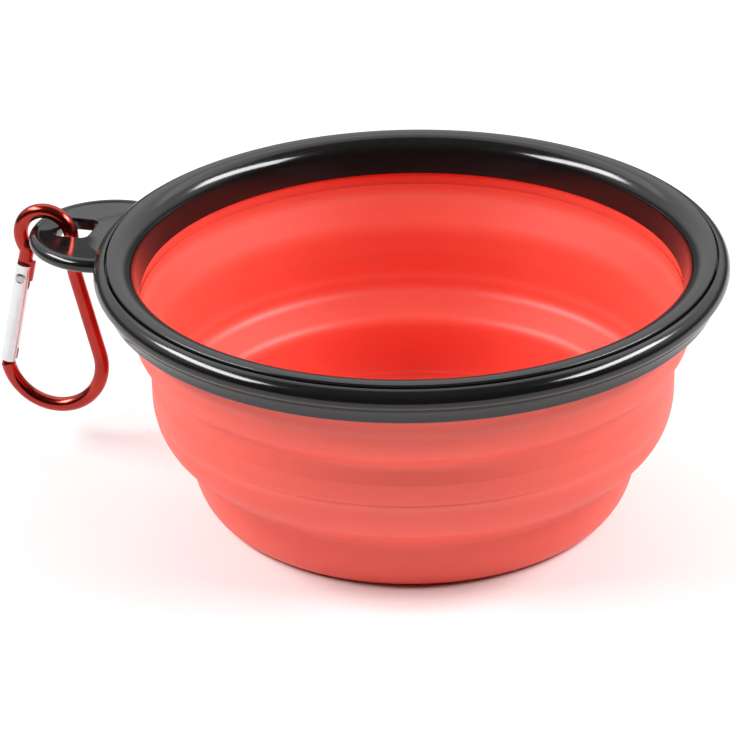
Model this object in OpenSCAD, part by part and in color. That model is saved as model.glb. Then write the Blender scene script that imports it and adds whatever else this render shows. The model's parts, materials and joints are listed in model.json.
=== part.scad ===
// Collapsible silicone bowl with a hard rim and a snap carabiner.
// Origin at the centre of the base's underside, +Z up, hang tab towards -X.

/* [Bowl] */
// Height from the table to the top of the rim
bowl_h = 54.8; // [48:0.2:62]
// Silicone wall thickness
wall_t = 2; // [1.6:0.1:2.4]
// Thickness of the base floor
floor_t = 2.2; // [1.8:0.1:3]
// Outer radius of the upper wall
upper_r = 57.5; // [50:0.5:70]
// Radial step from the upper wall in to the middle tier
upper_step = 3.6; // [3:0.1:5]
// Radial step from the middle tier in to the base cup
lower_step = 7.4; // [6:0.1:9]
// Radial step from the base cup's wall in to the flat underside
foot_step = 5.8; // [4.5:0.1:7]

/* [Folds] */
// Height of the band that folds between the upper wall and the middle tier
upper_fold_h = 8.8; // [8:0.1:9.5]
// Height of the straight wall between the upper fold and the rim's underside
collar_h = 4.6; // [3:0.1:6]
// Height of the band that folds between the middle tier and the base cup
lower_fold_h = 11.4; // [10.6:0.1:12]
// Height of the base cup below the lower fold
base_h = 13.2; // [12:0.1:14]
// Height of the narrow crease at the foot of each fold
crease_h = 0.9; // [0.6:0.1:1.2]
// Radial step of that crease
crease_w = 0.4; // [0.3:0.1:0.8]
// Height of the inner ledge above the foot of the upper fold
upper_sill = 1.5; // [1.3:0.1:2]
// Height of the inner ledge above the foot of the lower fold
lower_sill = 3.5; // [3:0.1:4]

/* [Rim] */
// Radial reach of the rim beyond the upper wall
rim_reach = 7; // [6.6:0.1:8.5]
// Height of the rim from its underside to its top
rim_h = 7.8; // [7.4:0.1:8.4]
// Radius of the round bead
bead_r = 1.4; // [1.2:0.05:1.5]
// Radial set-back of the joint line between the two rings from the rim's edge
groove_inset = 2.6; // [2.5:0.05:2.8]
// Width of that joint line
groove_w = 0.3; // [0.2:0.05:0.4]
// Height of the inner ring's top above the outer ring's
proud_h = 0.45; // [0.2:0.05:0.6]
// Radius of the inner ring's rounded nose
nose_r = 3; // [2.6:0.1:3.2]
// Radial reach of that nose inside the upper wall's outer face
nose_reach = 0.1; // [0:0.05:0.3]
// Thickness of the clamped silicone flange
flange_t = 2; // [1.6:0.1:2.2]
// Radial set-back of the clamped silicone flange from the rim's edge
flange_inset = 3.7; // [3.6:0.05:4]

/* [Hang tab] */
// Radius of the round tab
tab_r = 16.4; // [15.5:0.1:16.6]
// Distance of the tab's centre beyond the rim's edge
tab_reach = 0.6; // [0.5:0.1:0.8]
// Thickness of the tab
tab_t = 3; // [2.8:0.1:3]
// Depth of the tab's top face below the rim's top
tab_drop = 2.5; // [2.4:0.05:2.6]
// Width of the raised lip along the tab's edge
lip_w = 2.2; // [1.8:0.1:2.4]
// Height of that lip above the tab's panel
lip_h = 0.3; // [0.3:0.05:0.4]
// Width of the strip between the slot and the tab's edge
strip_w = 5.8; // [5.6:0.1:6]
// Slot length, around the bowl
slot_l = 9.2; // [8:0.1:10]
// Corner radius of the slot
slot_corner_r = 1.8; // [1.5:0.1:2.2]
// Distance from the rim's edge to the slot's near wall
slot_reach = 3.8; // [3.6:0.1:4]

/* [Carabiner] */
// Diameter of the carabiner's rod
rod_d = 3.1; // [2.8:0.1:3.1]
// Bend radius of the narrow top, along the rod's centre
top_r = 5.64; // [5.6:0.02:5.8]
// Slant of the long solid side from the vertical
spine_tilt = 13.5; // [12.5:0.5:14]
// Bend radius where the solid side starts to slant
spine_bend_r = 12; // [10:0.5:14]
// Bend radius of the neck above the gate
neck_bend_r = 2.2; // [2:0.1:2.6]
// Diameter of the gate
gate_d = 3.5; // [3.3:0.1:3.6]
// Slant of the gate from the vertical
gate_tilt = 12.8; // [12:0.1:13.4]
// Gate length above its rivet
gate_up = 3; // [2.8:0.1:3.2]
// Gate length below its rivet
gate_down = 20.5; // [19:0.1:21]
// Thickness of the two flat tongues of the rod
tongue_t = 1; // [0.8:0.05:1.1]
// Radius of the gate's rivet
rivet_r = 0.6; // [0.5:0.05:0.7]

/* [Hidden] */
$fn = 96;
// Finish colours, as photographed
silicone_tint = [0.93, 0.4, 0.34];
rim_tint = [0.08, 0.08, 0.08];
anodised_tint = [0.74, 0.16, 0.13];
gate_tint = [0.88, 0.88, 0.88];
steel_tint = [0.7, 0.7, 0.7];
// One overrun for every cut that has to pass a face
over = 0.5;
// Clearance of a moving fit, on the radius
run_gap = 0.06;
// Clearance of a fixed pin in its bore, on the radius
seat_gap = 0.02;
// Clearance between flat moving faces and round a loose sliding pin
slide_gap = 0.1;
// Free space left round the soft silicone
soft_gap = 0.3;
// Steps in each curved stretch of the silicone, in a small rounded edge and in the bead
curve_steps = 10;
round_steps = 8;
bead_steps = 16;
// Height of the fine bead that closes each joint between two runs of the rod
seam_h = 0.03;

// Radii of the tiers' walls and of the flat underside, from the top down
middle_r = upper_r - upper_step;
base_r = middle_r - lower_step;
foot_r = base_r - foot_step;

// Depth below the lower fold at which the base cup starts to curve in
knee_drop = 1.6;

// Rim heights, from its underside up
rim_z = bowl_h - rim_h;
rim_r = upper_r + rim_reach;
outer_top = bowl_h - proud_h;
groove_r = rim_r - groove_inset;
flange_r = rim_r - flange_inset;
ledge_t = 1.3;
flange_z = rim_z + ledge_t;
flange_top = flange_z + flange_t;
shoulder_drop = 3;
shoulder_z = bowl_h - shoulder_drop;
lip_rise = 0.1;
lip_z = rim_z + lip_rise;
// Silicone's neck beside the inner ring's lip: radius at its foot, and how far it leans out
neck_r = upper_r - wall_t / 2;
neck_lean = 1.7;
neck_top_r = neck_r + neck_lean;
// Flare of the silicone's outside within the rim, up to its flange
neck_flare = 0.9;
flare_r = upper_r + neck_flare;
// Clearance beside that leaning neck, along the radius
neck_gap = 0.4;
// Radius of the step that the inner ring sits on
shoulder_r = flange_r + soft_gap;
inner_ring_r = groove_r - groove_w / 2;
outer_bore_r = groove_r + groove_w / 2;
// Skirt below the bead: radii at its top, at its step and at its foot
skirt_inset = 0.9;
skirt_step_inset = 1.6;
skirt_foot_inset = 2.2;
skirt_r = rim_r - skirt_inset;
skirt_step_r = rim_r - skirt_step_inset;
skirt_foot_r = rim_r - skirt_foot_inset;
skirt_step_drop = 4.9;
skirt_step_z = bowl_h - skirt_step_drop;
skirt_step_h = 0.3;

// Heights of the silicone's flat joints, the straight middle wall taking what is left
lower_z = base_h;
middle_z = lower_z + lower_fold_h;
collar_z = rim_z - collar_h;
upper_z = collar_z - upper_fold_h;

// Rounding of the inner ring's outer top edge, and the depth at which its funnel starts
ring_edge_r = 0.3;
funnel_drop = 3.8;

// Tab heights
tab_top = bowl_h - tab_drop;
tab_z = tab_top - tab_t;
tab_edge_r = tab_t / 2;
tab_x = rim_r + tab_reach;
slot_x = rim_r + slot_reach;
slot_w = tab_x + tab_r - strip_w - slot_x;

// Carabiner frame: x towards the bowl, z up, origin at the centre of its top bend, which
// hangs below the tab's top face and a little outside the middle of the strip it holds
hook_drop = 2.8;
hook_shift = 0.2;
hook_x = -(tab_x + tab_r - strip_w / 2) - hook_shift;
hook_z = tab_top - hook_drop;
rod_r = rod_d / 2;
rivet_x = -5.91;
rivet_z = -9.81;
bow_x = -0.15;
bow_z = -29.05;
// Distances from the rivet along the gate to the rod's two shoulders and the nose's tip
shoulder_up = 4;
shoulder_down = 21.6;
nose_tip = 18;
nose_w = 2.6;
nose_slot_top = 17.4;
tongue_w = 3;
tongue_heel_w = 2.3;
tongue_heel_z = -0.5;
hinge_slot_z = -2.6;
bore_r = 0.95;
bore_end_z = -12;
bore_top_z = -tongue_w / 2 + slide_gap;
plunger_end_z = -5;
rivet_head_r = 1.05;
rivet_head_h = 0.3;
rivet_dome_h = 0.15;
rivet_flat_y = 1.3;
wire_r = 0.17;
spring_turns = 8;
ring_sides = 8;
turn_steps = 12;
coil_r = bore_r - slide_gap - wire_r;
coil_h = plunger_end_z - bore_end_z - 2 * wire_r;
coil_steps = spring_turns * turn_steps;

// Directions along and across the gate, and along the slanted side's outward normal
gate_dir = [sin(gate_tilt), cos(gate_tilt)];
gate_side = [-cos(gate_tilt), sin(gate_tilt)];
spine_side = [cos(spine_tilt), sin(spine_tilt)];
rivet_at = [rivet_x, rivet_z];
bow_at = [bow_x, bow_z];
// The bow starts on the gate's axis, at the lower shoulder
nose_at = rivet_at - shoulder_down * gate_dir;
bow_r = norm(nose_at - bow_at);
bow_start = bow_at + bow_r * spine_side;
bow_nose_angle = 360 + atan2(nose_at[1] - bow_z, nose_at[0] - bow_x);
// Extra turn of the bow that the gate's end plane then cuts off
nose_extra_angle = 14;
// Neck bend: tangent to the top bend and to the gate's axis
neck_foot = rivet_at + neck_bend_r * gate_side;
neck_b = neck_foot * gate_dir;
neck_c = neck_foot * neck_foot - pow(top_r + neck_bend_r, 2);
neck_up = -neck_b - sqrt(neck_b * neck_b - neck_c);
neck_at = neck_foot + neck_up * gate_dir;
neck_angle = 360 + atan2(neck_at[1], neck_at[0]);
neck_start = top_r * neck_at / norm(neck_at);
neck_end = rivet_at + neck_up * gate_dir;
// Spine: straight down from the top bend, then slanting on to the bow
spine_k = bow_start * spine_side;
spine_bend_x = top_r + spine_bend_r;
spine_end_x = spine_bend_x - spine_bend_r * cos(spine_tilt);
spine_end_z = (spine_k - spine_end_x * cos(spine_tilt)) / sin(spine_tilt);
spine_bend_z = spine_end_z + spine_bend_r * sin(spine_tilt);
spine_end = [spine_end_x, spine_end_z];

// Points of a quarter ellipse that leaves [r_a, z_a] straight down and ends level at [r_b, z_b]
function quarter(r_a, z_a, r_b, z_b) = [
    for (i = [0:curve_steps])
        let (turn = 90 * i / curve_steps)
        [r_b + (r_a - r_b) * cos(turn), z_a - (z_a - z_b) * sin(turn)]
];

// Points of a circular arc round c, from angle_a to angle_b
function arc(c, r, angle_a, angle_b, steps = round_steps) = [
    for (i = [0:steps])
        let (turn = angle_a + (angle_b - angle_a) * i / steps)
        c + r * [cos(turn), sin(turn)]
];

function reversed(points) = [for (i = [len(points) - 1:-1:0]) points[i]];

// Outline of a band that curves in from r_a at its top to r_b at its foot, where the inner
// ledge lies a sill higher
function fold_outline(r_a, r_b, z_top, z_foot, sill) = concat(
    quarter(r_a, z_top, r_b + crease_w, z_foot + crease_h),
    [[r_b, z_foot], [r_b - wall_t, z_foot]],
    reversed(quarter(r_a - wall_t, z_top, r_b - wall_t, z_foot + sill))
);

// Silicone pieces: one moulding, named by the part of it that moves as one

module base_cup() {
    knee_z = base_h - knee_drop;
    inner_r = base_r - wall_t;
    foot_inner_r = foot_r - wall_t;
    color(silicone_tint)
        rotate_extrude()
            polygon(concat(
                [[0, 0], [foot_r, 0]],
                reversed(quarter(base_r, knee_z, foot_r, 0)),
                [[base_r, lower_z], [inner_r, lower_z]],
                quarter(inner_r, knee_z, foot_inner_r, floor_t),
                [[0, floor_t]]
            ));
}

module lower_fold() {
    color(silicone_tint)
        rotate_extrude()
            polygon(fold_outline(middle_r, base_r, middle_z, lower_z, lower_sill));
}

module middle_tier() {
    color(silicone_tint)
        rotate_extrude()
            translate([middle_r - wall_t, middle_z])
                square([wall_t, upper_z - middle_z]);
}

module upper_fold() {
    color(silicone_tint)
        rotate_extrude()
            polygon(fold_outline(upper_r, middle_r, collar_z, upper_z, upper_sill));
}

// The wall's top, with the flange that the two rim rings clamp
module rim_collar() {
    color(silicone_tint)
        rotate_extrude()
            polygon([
                [upper_r - wall_t, collar_z], [upper_r, collar_z],
                [upper_r, rim_z], [flare_r, flange_z], [flange_r, flange_z],
                [flange_r, flange_top], [neck_top_r, flange_top],
                [neck_r, lip_z], [upper_r - wall_t, lip_z]
            ]);
}

// Rim pieces

module outer_ring_profile() {
    bead_at = [rim_r - bead_r, outer_top - bead_r];
    // The bead's underside ends where it meets the skirt
    bead_end = -acos((skirt_r - bead_at[0]) / bead_r);
    polygon(concat(
        [[outer_bore_r, outer_top]],
        arc(bead_at, bead_r, 90, bead_end, bead_steps),
        [
            [skirt_r, skirt_step_z], [skirt_step_r, skirt_step_z - skirt_step_h],
            [skirt_foot_r, rim_z], [upper_r + soft_gap, rim_z],
            [flare_r + soft_gap, flange_z], [shoulder_r, flange_z],
            [shoulder_r, shoulder_z], [outer_bore_r, shoulder_z]
        ]
    ));
}

module tab_plate() {
    translate([-tab_x, 0, tab_z])
        rotate_extrude() {
            square([tab_r - tab_edge_r, tab_t]);
            translate([tab_r - tab_edge_r, tab_edge_r])
                circle(r = tab_edge_r);
        }
}

module slot_outline() {
    inset_w = slot_w - 2 * slot_corner_r;
    inset_l = slot_l - 2 * slot_corner_r;
    translate([-slot_x - slot_w / 2, 0]) {
        square([slot_w, inset_l], center = true);
        square([inset_w, slot_l], center = true);
        for (sx = [-1, 1], sy = [-1, 1])
            translate([sx * inset_w / 2, sy * inset_l / 2])
                circle(r = slot_corner_r);
    }
}

module rim_outer_ring() {
    tab_root_r = skirt_foot_r;
    color(rim_tint)
        union() {
            rotate_extrude()
                outer_ring_profile();
            difference() {
                tab_plate();
                translate([0, 0, tab_z - over])
                    cylinder(r = tab_root_r, h = tab_t + 2 * over);
                translate([-tab_x, 0, tab_top - lip_h])
                    cylinder(r = tab_r - lip_w, h = lip_h + over);
                translate([0, 0, tab_z - over])
                    linear_extrude(tab_t + 2 * over)
                        slot_outline();
            }
        }
}

module rim_inner_ring() {
    nose_inner_r = upper_r - nose_reach;
    nose_at = [nose_inner_r + nose_r, bowl_h - nose_r];
    outer_edge = [inner_ring_r - ring_edge_r, bowl_h - ring_edge_r];
    color(rim_tint)
        rotate_extrude()
            polygon(concat(
                [
                    [upper_r - wall_t, lip_z], [neck_r - neck_gap, lip_z],
                    [neck_top_r - neck_gap, flange_top], [shoulder_r - soft_gap, flange_top],
                    [shoulder_r - soft_gap, shoulder_z], [inner_ring_r, shoulder_z]
                ],
                arc(outer_edge, ring_edge_r, 0, 90),
                arc(nose_at, nose_r, 90, 180, bead_steps),
                [[nose_inner_r, bowl_h - funnel_drop]]
            ));
}

// Carabiner pieces

// A bend of the rod round centre c, from angle_a up to angle_b, in the carabiner's plane
module rod_bend(c, bend_r, angle_a, angle_b) {
    translate([c[0], 0, c[1]])
        rotate([90, 0, 0])
            rotate([0, 0, angle_a])
                rotate_extrude(angle = angle_b - angle_a)
                    translate([bend_r, 0])
                        circle(r = rod_r);
}

// Bead that closes the joint between two runs of the rod at p
module rod_seam(p) {
    translate([p[0], 0, p[1]])
        sphere(r = rod_r + seam_h);
}

// A straight stretch of the rod from p to q, in the carabiner's plane
module rod_run(p, q) {
    step = q - p;
    translate([p[0], 0, p[1]])
        rotate([0, atan2(step[0], step[1]), 0])
            cylinder(r = rod_r, h = norm(step));
}

// Places its children in the carabiner's own frame
module at_hook() {
    translate([hook_x, 0, hook_z])
        children();
}

// Places its children with the rivet at the origin and the gate along Z
module at_gate() {
    at_hook()
        translate([rivet_x, 0, rivet_z])
            rotate([0, gate_tilt, 0])
                children();
}

module pin_y(r, length) {
    rotate([90, 0, 0])
        cylinder(r = r, h = length, center = true);
}

// Flat end of the rod at the gate's hinge, wider on the loop's side, rooted in the rod
module hinge_tongue() {
    root_w = rod_r / 2;
    difference() {
        translate([0, tongue_t / 2, 0])
            rotate([90, 0, 0])
                linear_extrude(tongue_t) {
                    circle(r = tongue_w / 2);
                    polygon([
                        [-tongue_w / 2, 0], [0, 0], [tongue_heel_w, tongue_heel_z],
                        [tongue_heel_w, shoulder_up], [root_w, shoulder_up + over],
                        [-root_w, shoulder_up + over], [-tongue_w / 2, shoulder_up]
                    ]);
                }
        pin_y(rivet_r + run_gap, tongue_t + 2 * over);
    }
}

// Flat end of the rod that the closed gate's slot takes in
module nose_tongue() {
    tip_r = nose_w / 2;
    translate([0, tongue_t / 2, 0])
        rotate([90, 0, 0])
            linear_extrude(tongue_t) {
                translate([0, -nose_tip - tip_r])
                    circle(r = tip_r);
                translate([-tip_r, -shoulder_down - over])
                    square([nose_w, shoulder_down + over - nose_tip - tip_r]);
            }
}

module carabiner_body() {
    cut_w = 4 * rod_d;
    color(anodised_tint)
        union() {
            difference() {
                at_hook() {
                    rod_bend([0, 0], top_r, 0, neck_angle);
                    rod_bend(neck_at, neck_bend_r, -gate_tilt, neck_angle - 180);
                    rod_run([top_r, spine_bend_z], [top_r, 0]);
                    rod_bend([spine_bend_x, spine_bend_z], spine_bend_r, 180, 180 + spine_tilt);
                    rod_run(bow_start, spine_end);
                    rod_bend(bow_at, bow_r, bow_nose_angle - nose_extra_angle - 360, spine_tilt);
                    for (p = [neck_start, neck_end, spine_end, bow_start])
                        rod_seam(p);
                }
                at_gate()
                    translate([-cut_w / 2, -cut_w / 2, -shoulder_down])
                        cube([cut_w, cut_w, shoulder_down]);
            }
            at_gate()
                translate([0, 0, shoulder_up])
                    cylinder(r = rod_r, h = neck_up - shoulder_up);
            at_gate()
                hinge_tongue();
            at_gate()
                nose_tongue();
        }
}

module carabiner_gate() {
    gate_r = gate_d / 2;
    slit_t = tongue_t + 2 * slide_gap;
    color(gate_tint)
        at_gate()
            difference() {
                translate([0, 0, -gate_down])
                    cylinder(r = gate_r, h = gate_down + gate_up);
                translate([-gate_d, -slit_t / 2, hinge_slot_z])
                    cube([2 * gate_d, slit_t, gate_up - hinge_slot_z + over]);
                translate([-gate_d, -slit_t / 2, -gate_down - over])
                    cube([2 * gate_d, slit_t, gate_down - nose_slot_top + over]);
                translate([0, 0, bore_end_z])
                    cylinder(r = bore_r, h = bore_top_z - bore_end_z);
                pin_y(rivet_r + seat_gap, gate_d + 2 * over);
                for (side = [-1, 1])
                    translate([0, side * (rivet_flat_y + gate_d / 2), 0])
                        pin_y(rivet_head_r + slide_gap, gate_d);
            }
}

module gate_rivet() {
    color(steel_tint)
        at_gate() {
            pin_y(rivet_r, 2 * rivet_flat_y);
            for (side = [-1, 1])
                rotate([-90 * side, 0, 0])
                    translate([0, 0, rivet_flat_y]) {
                        cylinder(r = rivet_head_r, h = rivet_head_h);
                        translate([0, 0, rivet_head_h])
                            cylinder(r1 = rivet_head_r, r2 = rivet_r, h = rivet_dome_h);
                    }
        }
}

module gate_plunger() {
    top_z = -tongue_w / 2 - run_gap;
    color(steel_tint)
        at_gate()
            translate([0, 0, plunger_end_z])
                cylinder(r = bore_r - slide_gap, h = top_z - plunger_end_z);
}

// One point of the spring's coil, i steps along it
function coil_point(i) = [
    coil_r * cos(360 * i / turn_steps),
    coil_r * sin(360 * i / turn_steps),
    bore_end_z + wire_r + coil_h * i / coil_steps
];

// One point of the wire's surface, side k of ring i
function wire_point(i, k) =
    let (
        turn = 360 * i / turn_steps,
        side = 360 * k / ring_sides,
        out = [cos(turn), sin(turn), 0]
    )
    coil_point(i) + wire_r * (cos(side) * out + sin(side) * [0, 0, 1]);

module gate_spring() {
    points = [for (i = [0:coil_steps], k = [0:ring_sides - 1]) wire_point(i, k)];
    walls = [
        for (i = [0:coil_steps - 1], k = [0:ring_sides - 1])
            let (next = (k + 1) % ring_sides)
            [
                i * ring_sides + k, i * ring_sides + next,
                (i + 1) * ring_sides + next, (i + 1) * ring_sides + k
            ]
    ];
    start_cap = [for (k = [ring_sides - 1:-1:0]) k];
    end_cap = [for (k = [0:ring_sides - 1]) coil_steps * ring_sides + k];
    color(steel_tint)
        at_gate()
            polyhedron(points = points, faces = concat(walls, [start_cap, end_cap]));
}

base_cup();
lower_fold();
middle_tier();
upper_fold();
rim_collar();
rim_outer_ring();
rim_inner_ring();
carabiner_body();
carabiner_gate();
gate_rivet();
gate_plunger();
gate_spring();
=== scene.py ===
"""Dresses the collapsible silicone bowl with its hard rim, hang tab and snap carabiner.

Sizes are in millimetres and in the frame's own axes: the origin is the centre of the
base's underside, +Z is up and the hang tab points towards -X. Meshes are in metres.
"""

import json
import logging
import math
from dataclasses import dataclass
from enum import Enum

import bmesh
import bpy
from bpy.types import Material, Mesh, Node, NodeSocket, NodeTree, Object
from mathutils import Matrix, Vector


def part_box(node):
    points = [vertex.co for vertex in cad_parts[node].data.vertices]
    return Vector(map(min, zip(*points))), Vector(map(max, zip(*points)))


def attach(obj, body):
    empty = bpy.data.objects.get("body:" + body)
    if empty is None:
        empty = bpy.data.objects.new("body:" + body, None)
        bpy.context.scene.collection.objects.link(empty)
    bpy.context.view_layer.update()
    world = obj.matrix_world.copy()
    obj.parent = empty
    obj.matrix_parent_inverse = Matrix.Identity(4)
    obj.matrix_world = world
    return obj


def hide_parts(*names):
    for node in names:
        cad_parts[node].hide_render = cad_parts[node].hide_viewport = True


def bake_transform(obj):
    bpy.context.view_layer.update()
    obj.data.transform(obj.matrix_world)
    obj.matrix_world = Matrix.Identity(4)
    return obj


LOG = logging.getLogger("bowl")
MM = 0.001
CORNER_CHORDS = 6
BELL_ROUND = 0.2
CREASE_ANGLE = 35.0
SEAM_GAP = 1e-7
WELD_GAP = 1e-6
INDEX_NUDGE = 5e-6
ROD_SIDES = 40

Point = tuple[float, float]
Colour = tuple[float, float, float]


def arc(
    centre: Point, radius: float, start: float, end: float, steps: int = 10
) -> list[Point]:
    """Points of a circular arc.

    Args:
        centre: Centre of the arc.
        radius: Radius of the arc.
        start: Angle of the first point, in degrees.
        end: Angle of the last point, in degrees.
        steps: Number of chords.

    Returns:
        The points, both ends included.
    """
    x, y = centre
    turns = [math.radians(start + (end - start) * i / steps) for i in range(steps + 1)]
    return [(x + radius * math.cos(a), y + radius * math.sin(a)) for a in turns]


def quarter(start: Point, end: Point, steps: int = 24) -> list[Point]:
    """Points of a quarter ellipse that leaves start upright and ends level at end.

    Args:
        start: Point (radius, height) where the curve is upright.
        end: Point (radius, height) where the curve is level.
        steps: Number of chords.

    Returns:
        The points, both ends included.
    """
    wide, tall = start[0] - end[0], start[1] - end[1]
    turns = [math.pi / 2 * i / steps for i in range(steps + 1)]
    return [(end[0] + wide * math.cos(a), start[1] - tall * math.sin(a)) for a in turns]


def rounded(
    bends: list[Point], radius: float, before: Point, after: Point
) -> list[Point]:
    """Points of a line whose corners are cut by short curves.

    Args:
        bends: The corners, as (radius, height).
        radius: How far from each corner its curve starts.
        before: Point from which the line comes.
        after: Point to which the line goes on.

    Returns:
        The points of the curves.
    """
    line = [before, *bends, after]
    points = []
    for a, corner, b in zip(line, line[1:], line[2:]):
        come, here, leave = Vector(a), Vector(corner), Vector(b)
        first = here + (come - here).normalized() * radius
        last = here + (leave - here).normalized() * radius
        for i in range(CORNER_CHORDS + 1):
            t = i / CORNER_CHORDS
            spot = first * (1 - t) ** 2 + here * (2 * t * (1 - t)) + last * t**2
            points.append((spot.x, spot.y))
    return points


def span(node: str) -> tuple[float, float]:
    """Lowest and highest height of a CAD node, in millimetres."""
    low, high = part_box(node)
    return round(low.z / MM, 3), round(high.z / MM, 3)


def reach(node: str) -> float:
    """Largest radius of a round CAD node, in millimetres."""
    return round(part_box(node)[1].x / MM, 3)


Term = "Expr | float"


class Expr:
    """A value in a node tree, on which Python arithmetic adds Math nodes."""

    def __init__(self, graph: "Graph", socket: NodeSocket) -> None:
        """Keeps the tree and the socket that gives the value."""
        self.graph = graph
        self.socket = socket

    def _math(self, operation: str, *terms: Term) -> "Expr":
        """Adds one Math node on the given terms."""
        values = dict(enumerate(terms))
        return self.graph.value("ShaderNodeMath", values, operation=operation)

    def __add__(self, other: Term) -> "Expr":
        """Sum."""
        return self._math("ADD", self, other)

    __radd__ = __add__

    def __sub__(self, other: Term) -> "Expr":
        """Difference."""
        return self._math("SUBTRACT", self, other)

    def __rsub__(self, other: Term) -> "Expr":
        """Difference, with the number first."""
        return self._math("SUBTRACT", other, self)

    def __mul__(self, other: Term) -> "Expr":
        """Product."""
        return self._math("MULTIPLY", self, other)

    def __truediv__(self, other: Term) -> "Expr":
        """Quotient."""
        return self._math("DIVIDE", self, other)

    def apply(self, operation: str) -> "Expr":
        """Result of a Math operation on this value alone."""
        return self._math(operation, self)

    def bell(self, centre: float, width: float) -> "Expr":
        """Smooth bump of height 1 at centre that dies out at that distance."""
        away = (self - centre).apply("ABSOLUTE") / width
        return self._math("SMOOTH_MAX", 1 - away, 0.0, BELL_ROUND)


Value = Expr | NodeSocket | float | int | tuple


class Graph:
    """A node tree that is filled by calls, for materials and for geometry."""

    def __init__(self, tree: NodeTree) -> None:
        """Keeps the tree to fill."""
        self.tree = tree

    def add(self, kind: str, values: dict | None = None, **settings: str) -> Node:
        """Adds a node.

        Args:
            kind: The node's type.
            values: Value or link of each input, by name or index.
            settings: The node's settings, set before its inputs.

        Returns:
            The node.
        """
        node = self.tree.nodes.new(kind)
        for name, setting in settings.items():
            setattr(node, name, setting)
        for key, value in (values or {}).items():
            socket = node.inputs[key]
            if isinstance(value, Expr):
                value = value.socket
            if isinstance(value, NodeSocket):
                self.tree.links.new(value, socket)
            else:
                socket.default_value = value
        return node

    def value(
        self,
        kind: str,
        values: dict | None = None,
        output: str | int = 0,
        **settings: str,
    ) -> Expr:
        """Adds a node and gives one of its outputs.

        Args:
            kind: The node's type.
            values: Value or link of each input.
            output: Name or index of the output.
            settings: The node's settings.

        Returns:
            The output as a value.
        """
        return Expr(self, self.add(kind, values, **settings).outputs[output])

    def mix(self, share: Value, first: Value, second: Value) -> Expr:
        """Mixes two colours.

        Args:
            share: Share of the second colour.
            first: First colour.
            second: Second colour.

        Returns:
            The mixed colour.
        """
        a, b = ((*c, 1.0) if isinstance(c, tuple) else c for c in (first, second))
        values = {0: share, 6: a, 7: b}
        return self.value("ShaderNodeMix", values, 2, data_type="RGBA")

    def ramp(
        self, value: Value, low: float, high: float, first: float, last: float
    ) -> Expr:
        """Smooth step from first at low to last at high.

        Args:
            value: Value that is read.
            low: Value at which the step starts.
            high: Value at which it ends.
            first: Result up to low.
            last: Result from high on.

        Returns:
            The result.
        """
        values = dict(enumerate((value, low, high, first, last)))
        return self.value("ShaderNodeMapRange", values, interpolation_type="SMOOTHSTEP")


@dataclass(frozen=True)
class Marks:
    """Noise that tints, dulls and bumps a finish, stretched along the axes or even.

    Scales are per metre, detail is in octaves, rough is the weight of the finer ones
    and depth is in metres.
    """

    scale: float = 1.0
    stretch: Colour | None = None
    detail: float = 3.0
    rough: float = 0.5
    tints: float = 0.0
    dulls: float = 0.0
    depth: float = 0.0
    strength: float = 0.0


class Surface(Graph):
    """A material whose shader is filled by calls."""

    def __init__(self, name: str) -> None:
        """Makes an empty material with one Principled shader."""
        self.material = bpy.data.materials.new(name)
        self.material.use_nodes = True
        super().__init__(self.material.node_tree)
        self.tree.nodes.clear()
        self.shader = self.add("ShaderNodeBsdfPrincipled")
        surface = {"Surface": self.shader.outputs[0]}
        self.output = self.add("ShaderNodeOutputMaterial", surface)
        self.place = self.value("ShaderNodeTexCoord", output="Object")

    def set(self, **values: Value) -> None:
        """Sets or links the shader's inputs, named with _ for a space."""
        for name, value in values.items():
            title = name.replace("_", " ").title().replace("Ior", "IOR")
            socket = self.shader.inputs[title]
            if isinstance(value, Expr):
                self.tree.links.new(value.socket, socket)
            else:
                socket.default_value = value

    def marks(self, mark: Marks) -> Expr:
        """Noise of a kind of marks, which bumps the surface where they have a depth.

        Args:
            mark: The marks.

        Returns:
            The noise, between about 0 and 1.
        """
        where = self.place
        if mark.stretch:
            values = {"Vector": where, "Scale": mark.stretch}
            where = self.value("ShaderNodeMapping", values)
        values = {"Vector": where, "Scale": mark.scale, "Detail": mark.detail}
        values["Roughness"] = mark.rough
        height = self.value("ShaderNodeTexNoise", values)
        if mark.depth:
            values = {"Height": height, "Distance": mark.depth}
            values["Strength"] = mark.strength
            self.set(normal=self.value("ShaderNodeBump", values, "Normal"))
        return height


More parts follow.
